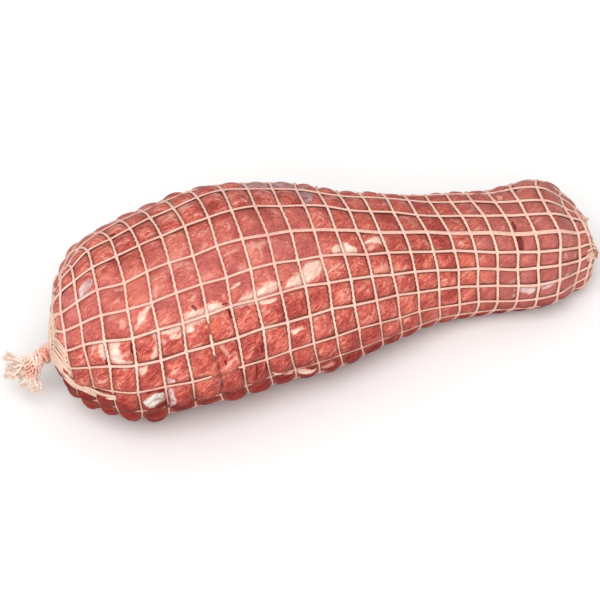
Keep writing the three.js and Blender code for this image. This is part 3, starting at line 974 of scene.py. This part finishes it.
chance = np.random.default_rng(4)
strip_routes = []
for number in range(STRIP_YARNS):
    guide = curve(STRIP, 14)
    share = np.linspace(0, 1, len(guide))
    lift = STRIP_LIFT + STRIP_UNEVENNESS * math.sin(number * 2.4)
    middle, out, radii, is_ring = lying_yarn(guide, lift, STRIP_YARN_RADIUS)
    side = unit(np.cross(np.gradient(middle, axis=0), out))
    across = (number / (STRIP_YARNS - 1) * 2 - 1) * STRIP_HALF_WIDTH
    across = across + 0.35 * np.sin(share * 9 + number * 2.1) + 0.2 * np.sin(share * 23 + number)
    narrow = STRIP_END_WIDTH + (1 - STRIP_END_WIDTH) * smooth(*STRIP_TAPER, share)
    strip_routes.append((middle + side * (across * narrow * MM)[:, None], out, radii, is_ring))
for number in range(SPARE_YARNS):
    cord = SPARE_FROM + SPARE_SPAN * number / (SPARE_YARNS - 1) + chance.normal(0, 0.1)
    if cord < WEDGE_FROM:
        crossing = round(cord)
        reach = -1 if number % 3 == 0 else 0
        stations = [(-2.3, cord + 0.1), (-1.7, cord), (-1.2, 0.5 * (cord + crossing)), (reach, crossing)]
    else:
        wedge = [(-2.3, 0), (-1.5, 0), (-0.8, 0.15), (-0.3, 0.45), (-0.05, 0.9)]
        stations = [(ring + chance.normal(0, 0.05), min(cord + on, WEDGE_TO)) for ring, on in wedge]
    guide = curve(stations, 8)
    share = np.linspace(0, 1, len(guide))
    rise = 0.25 + chance.uniform(0, 1.1) * np.sin(share * math.pi) - 0.6 * share**4
    strip_routes.append(lying_yarn(guide, rise, chance.uniform(*SPARE_RADII)))
for number in range(CROSS_YARNS):
    ring = CROSS_FROM + CROSS_STEP * number
    guide = curve([(ring + chance.normal(0, 0.06), cord) for cord in CROSS_CORDS], 8)
    strip_routes.append(lying_yarn(guide, chance.uniform(*CROSS_HEIGHTS), chance.uniform(*CROSS_RADII)))
net_strip = tubes("net_strip", strip_routes, BUNCHED_SIDES)
keep(net_strip, "bunched", np.ones(len(net_strip.data.vertices)))
net_strip.data.materials.append(yarn.material)
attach(net_strip, "root")
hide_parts("net")


# Tail of the net
# The cut end of the net is wound into a loose rope of yarns that leaves the tied end and
# frays into tufts. Meat juice has stained it orange in two places.
TAIL_ROOT = np.array([-151.9, 0.4, 33.9])
TAIL_RADIUS = 3.8
TAIL_YARN_RADIUS = 0.76
TAIL_YARN_SIDES = 7
TAIL_STEPS = 9
TAIL_START = (4.5, 1.5, 2)
TAIL_SIDE = (0.3, -1, 0.5)

# The yarns wind round the middle of the rope in layers. It is narrow at its neck, and its tufts
# part at the fork, both as shares of its length.
YARN_LAYERS = 9
INNERMOST_LAYER = 0.7
YARN_TURN = 2.4
YARN_TWIST = 6
NECK_WIDTH = 0.75
NECK_END = 0.2
FORK = (0.4, 0.65)

# How far each yarn strays, and in how many waves, in its angle, its spread and its thickness
TWIST_STRAYING, TWIST_WAVES = 0.6, 15
SPREAD_STRAYING, SPREAD_WAVES = 0.22, 19
YARN_STRAYING, YARN_WAVES = 0.2, 1.9
YARN_THINNING = 0.3
YARN_SHAKE = 0.14
STEPS_CUT = 8

# Small loops that stand out of the rope: the least and the most of their length and height
LOOPS = 70
LOOP_LENGTH = (0.8, 1.6)
LOOP_HEIGHT = (0.9, 1.7)
LOOP_LEAN = 0.8
LOOP_YARN_RADIUS = 0.42
FUZZ = 3600
FIBRE_SIDES = 3

# The middles of the two stains, counted from the root, and their reach
STAINS = [
    ((-0.5, -3, 0.5), 8),
    ((-11, -6, -6), 6),
]

# Yarns, their spread past the fork, and the places they pass, counted from the root
TAIL_PARTS = [
    (5, 0.45, [(-2, -0.5, -1), (-6.7, -0.2, -2.6), (-12.5, 1, -3.8), (-17.5, 3, -3.4), (-20.5, 5.5, -1.8)]),
    (8, 1, [(-2.2, -0.6, -1.4), (-5, -1.7, -3.4), (-9, -3, -6.2), (-14.5, -3, -8), (-23, -1, -9)]),
    (5, 0.8, [
        (-2.2, -0.6, -1.4), (-5, -1.7, -3.6), (-8.5, -4, -7.5), (-10.5, -9, -12.5), (-10.5, -12, -15.5),
    ]),
    (5, 1, [(-2.2, -0.6, -1.4), (-5, -1.7, -3.4), (-9, -2, -5), (-14, -0.8, -5.6), (-20, 0.7, -6.6)]),
    (4, 0.9, [(-2.2, -0.6, -1.4), (-5, -1.7, -3.4), (-9, -3.4, -7), (-13, -5, -10), (-16.5, -7, -13)]),
]


def loose_yarn(points, radius):
    """A route given in millimetres, with a way out that no loose yarn runs along."""
    points = np.asarray(points) * MM
    out = np.tile((0.2, -0.3, 1.0), (len(points), 1))
    return points, out, np.broadcast_to(radius * MM, len(points)), False


def fray(start, forward, count, length, spread, radius):
    """Fine fibres that spread from a point."""
    routes = []
    for _ in range(count):
        way = unit(forward + chance.normal(0, spread, 3))
        bend = unit(way + chance.normal(0, 0.7, 3))
        reach = length * chance.uniform(0.5, 1)
        points = curve([start, start + way * reach * 0.5, start + (way + bend) * reach * 0.5], 3)
        routes.append(loose_yarn(points, np.linspace(radius, radius * 0.5, len(points))))
    return routes


tail_routes = []
fray_routes = []
tail_places = []
number = 0
for yarns, flare, stations in TAIL_PARTS:
    core = curve([TAIL_ROOT + TAIL_START, TAIL_ROOT, *(TAIL_ROOT + np.array(stations))], TAIL_STEPS)
    share = np.linspace(0, 1, len(core))
    forward = unit(np.gradient(core, axis=0))
    side = unit(np.cross(forward, TAIL_SIDE))
    lift = np.cross(side, forward)
    for _ in range(yarns):
        number += 1
        angle = number * YARN_TURN + share * YARN_TWIST
        angle = angle + TWIST_STRAYING * np.sin(share * TWIST_WAVES + number)
        spread = TAIL_RADIUS * math.sqrt((number % YARN_LAYERS + INNERMOST_LAYER) / YARN_LAYERS)
        spread = spread * (1 + (flare - 1) * smooth(*FORK, share))
        spread = spread * (1 + SPREAD_STRAYING * np.sin(share * SPREAD_WAVES + number * 1.7))
        spread = spread * (NECK_WIDTH + (1 - NECK_WIDTH) * smooth(0, NECK_END, share))
        points = core + side * (spread * np.cos(angle))[:, None] + lift * (spread * np.sin(angle))[:, None]
        points = points + chance.normal(0, YARN_SHAKE, points.shape)
        points = points[: len(points) - int(chance.integers(0, STEPS_CUT))]
        waves = np.sin(np.arange(len(points)) * YARN_WAVES + number)
        thickness = TAIL_YARN_RADIUS * (1 + YARN_STRAYING * waves)
        tail_routes.append(loose_yarn(points, thickness * (1 - YARN_THINNING * share[: len(points)])))
        way = unit(points[-1] - points[-3])
        fray_routes += fray(points[-1], way, count=30, length=4.2, spread=0.6, radius=0.13)
        tail_places.extend(zip(points[6:], forward[6 : len(points)]))
for _ in range(LOOPS):
    foot, along = tail_places[int(chance.integers(0, len(tail_places)) * chance.uniform(0.4, 1))]
    way = unit(np.cross(along, chance.normal(0, 1, 3)))
    along = along * chance.uniform(*LOOP_LENGTH)
    rise = way * chance.uniform(*LOOP_HEIGHT)
    top = foot + rise * 1.4 + np.cross(way, along) * chance.uniform(-LOOP_LEAN, LOOP_LEAN)
    points = [foot - along, foot - along * 0.9 + rise, top, foot + along * 0.9 + rise, foot + along]
    tail_routes.append(loose_yarn(curve(points, 5), LOOP_YARN_RADIUS))
for _ in range(FUZZ):
    foot, along = tail_places[int(chance.integers(0, len(tail_places)))]
    way = unit(chance.normal(0, 1, 3) + along * 0.8)
    fray_routes += fray(foot, way, count=1, length=2.8, spread=0.3, radius=0.09)
net_tail = tubes("net_tail_yarns", tail_routes, TAIL_YARN_SIDES)
net_frays = tubes("net_tail_frays", fray_routes, FIBRE_SIDES)

tail_yarn = Finish("net_tail_cord", Specular_IOR_Level=0.2)
tail_fluff = tail_yarn.noise(tail_yarn.places(), 1500, 2, 0.6)
tail_stain = tail_yarn.noise(tail_yarn.places(), 260, 3, 0.6)
blood = tail_yarn.attribute("blood")
clean = tail_yarn.mix(tail_yarn.step(tail_fluff, 0.3, 0.65), tint(236, 202, 184), tint(250, 232, 218))
tail_colour = tail_yarn.layered(clean, [
    (tail_yarn.step(blood + (tail_stain - 0.5) * 1.1, 0.15, 0.8), 0.8, tint(230, 166, 144)),
    (tail_yarn.step(blood + (tail_stain - 0.5) * 1.8, 0.72, 1.15), 0.6, tint(220, 112, 84)),
])
tail_yarn.finish(tail_colour, 0.85, tail_fluff, 0.25 * MM, 0.7)
for piece in (net_tail, net_frays):
    places = vertices_of(piece) / MM
    gaps = [np.linalg.norm(places - (TAIL_ROOT + middle), axis=1) / reach for middle, reach in STAINS]
    keep(piece, "blood", np.clip(1.15 - np.minimum(*gaps), 0, 1))
    piece.data.materials.append(tail_yarn.material)
    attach(piece, "root")
    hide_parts("net_tail")


# Tuft at the thin end
# There the cords run together and end in a few short loops and cut ends of yarn.
TUFT = np.array([170, -5.4, 14.2])
TUFT_LOOPS = 15
TUFT_HALF_WIDTH = 4.2
TUFT_HEIGHT = 2.2
TUFT_UNEVENNESS = 0.9
TUFT_YARN_RADIUS = 0.6
TUFT_OUT = unit(np.array([0.87, -0.2, -0.45]))
TUFT_SIDE = unit(np.cross(TUFT_OUT, (0, 0, 1)))
TUFT_UP = np.cross(TUFT_SIDE, TUFT_OUT)

# The places that a loop passes: how far inwards and onwards, and its share of the height
TUFT_LOOP = [(0, -1.4, 0), (0, -1.2, 0.7), (1.4, 0, 1), (2.2, 1.4, 0.6)]
TUFT_LOOP_END = 0.8

# A loop of three yarns that hangs off the net, and two knots: ring, cord and height above the net
HANGING_LOOP = [(23.65, 4.5, 0.4), (24.15, 4.35, 1), (24.6, 4.75, 1.3), (24.5, 5.3, 1), (23.9, 5.1, 0.4)]
HANGING_SHIFTS = (0, 0.6, 1.2)
HANGING_SLANT = 0.15
HANGING_YARN_RADIUS = 0.5
KNOTS = [(24.3, 1.55, 1.9), (23.85, 4.95, 0.9)]
KNOT_YARNS = 9
KNOT_SPREAD = (0.14, 0.15, 0.6)
KNOT_YARN_RADIUS = 0.32

tuft_routes = []
for number in range(TUFT_LOOPS):
    angle = number * 2 * math.pi / TUFT_LOOPS + 0.3
    away = TUFT_SIDE * math.cos(angle) + TUFT_UP * math.sin(angle)
    round_way = np.cross(TUFT_OUT, away)
    start = TUFT + away * TUFT_HALF_WIDTH
    height = TUFT_HEIGHT + TUFT_UNEVENNESS * math.sin(number * 2.3)
    points = [
        start - away * inwards + round_way * onwards + TUFT_OUT * height * share
        for inwards, onwards, share in TUFT_LOOP
    ]
    points = curve([*points, TUFT + round_way * TUFT_LOOP_END], 5)
    tuft_routes.append(loose_yarn(points, TUFT_YARN_RADIUS))
    tuft_routes += fray(points[10], TUFT_OUT, count=4, length=1.8, spread=0.6, radius=0.1)
ring, cord, height = curve(HANGING_LOOP, 8).T
for shift in HANGING_SHIFTS:
    points = net_place(ring - shift * HANGING_SLANT, cord, (height + shift) * MM)
    tuft_routes.append(loose_yarn(points / MM, HANGING_YARN_RADIUS))
for middle in KNOTS:
    for _ in range(KNOT_YARNS):
        stations = np.array(middle) + chance.normal(0, 1, (5, 3)) * KNOT_SPREAD
        ring, cord, height = curve(stations, 6).T
        points = net_place(ring, cord, np.maximum(height, 0.1) * MM)
        tuft_routes.append(loose_yarn(points / MM, KNOT_YARN_RADIUS))
tuft = tubes("net_end_tuft", tuft_routes, BUNCHED_SIDES)
keep(tuft, "bunched", np.full(len(tuft.data.vertices), 0.5))
tuft.data.materials.append(yarn.material)
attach(tuft, "root")
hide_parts("net_end_gather")


# Table, light and camera
# The roast lies on a plain white table under soft light from above and from the left.
TABLE_SIZE = 6
TABLE_COLOUR = (0.9, 0.9, 0.9, 1)
TABLE_ROUGHNESS = 0.9
SKY_COLOUR = (1, 0.99, 0.975, 1)
SKY_STRENGTH = 0.66
bpy.ops.object.select_all(action="DESELECT")
bpy.ops.mesh.primitive_plane_add(size=TABLE_SIZE, location=(0, 0, 0))
table = bpy.context.object
table.name = "table"
bpy.ops.object.select_all(action="DESELECT")
table_finish = Finish("white_table", Roughness=TABLE_ROUGHNESS, Base_Color=TABLE_COLOUR)
table.data.materials.append(table_finish.material)

world = bpy.data.worlds.new("studio")
world.use_nodes = True
sky = world.node_tree.nodes["Background"]
sky.inputs["Color"].default_value = SKY_COLOUR
sky.inputs["Strength"].default_value = SKY_STRENGTH
bpy.context.scene.world = world

# One round lamp: its width is in metres and its power in watts
LIGHT_PLACE = Vector((-1.05, -1.85, 2.7))
LIGHT_AIM = Vector((0, 0, 0.05))
LIGHT_SIZE = 3.2
LIGHT_POWER = 104
lamp = bpy.data.lights.new("key_light", "AREA")
lamp.shape = "DISK"
lamp.size = LIGHT_SIZE
lamp.energy = LIGHT_POWER
light = bpy.data.objects.new("key_light", lamp)
light.location = LIGHT_PLACE
light.rotation_euler = (LIGHT_AIM - LIGHT_PLACE).to_track_quat("-Z", "Y").to_euler()
bpy.context.collection.objects.link(light)

CAMERA_TARGET = Vector((-15.9, -27.6, 54.0)) * MM
CAMERA_DISTANCE = 1.332
CAMERA_AZIMUTH = math.radians(-19.5)
CAMERA_ELEVATION = math.radians(43)
CAMERA_LENS = 147
camera_data = bpy.data.cameras.new("camera")
camera_data.lens = CAMERA_LENS
camera = bpy.data.objects.new("camera", camera_data)
bpy.context.collection.objects.link(camera)
back = Vector((
    math.sin(CAMERA_AZIMUTH) * math.cos(CAMERA_ELEVATION),
    -math.cos(CAMERA_AZIMUTH) * math.cos(CAMERA_ELEVATION),
    math.sin(CAMERA_ELEVATION),
))
camera.location = CAMERA_TARGET + back * CAMERA_DISTANCE
camera.rotation_mode = "QUATERNION"
camera.rotation_quaternion = (-back).to_track_quat("-Z", "Y")
bpy.context.scene.camera = camera
bpy.context.scene.view_settings.view_transform = "Standard"
